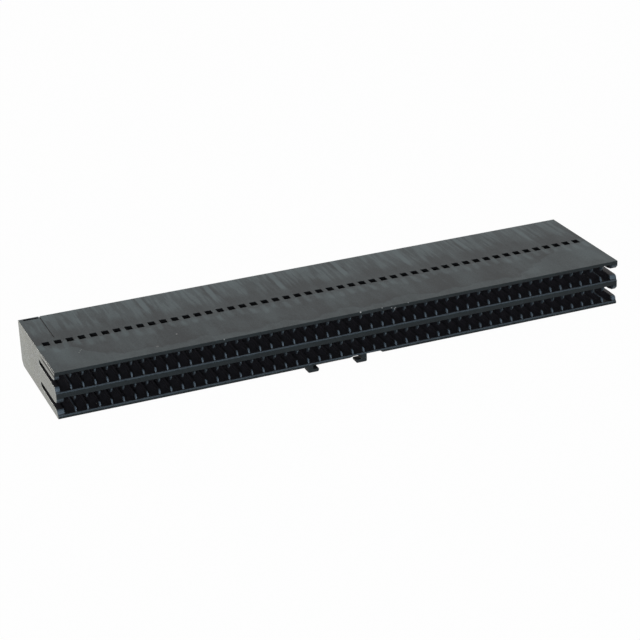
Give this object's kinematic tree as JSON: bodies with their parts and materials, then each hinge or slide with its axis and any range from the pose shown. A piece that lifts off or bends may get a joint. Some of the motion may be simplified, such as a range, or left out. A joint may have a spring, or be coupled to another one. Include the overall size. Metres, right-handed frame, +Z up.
{
  "type": "board connector receptacle housing",
  "caption": "Long flat moulded receptacle housing, two rows of cable contact cavities behind flared slots, latch windows on top, square pin openings at the rear and two small hooks below.",
  "frame": {"origin": "middle of the footprint, level with the underside of the two hooks", "axes": "+X along the rows, +Y from the cable side at the front to the pin side at the rear, +Z up through the latch windows"},
  "size_m": [0.0646, 0.0146, 0.0058],
  "materials": {
    "black_thermoplastic": "matt moulded"
  },
  "bodies": {
    "root": {"housing": "black_thermoplastic"}
  },
  "joints": []
}
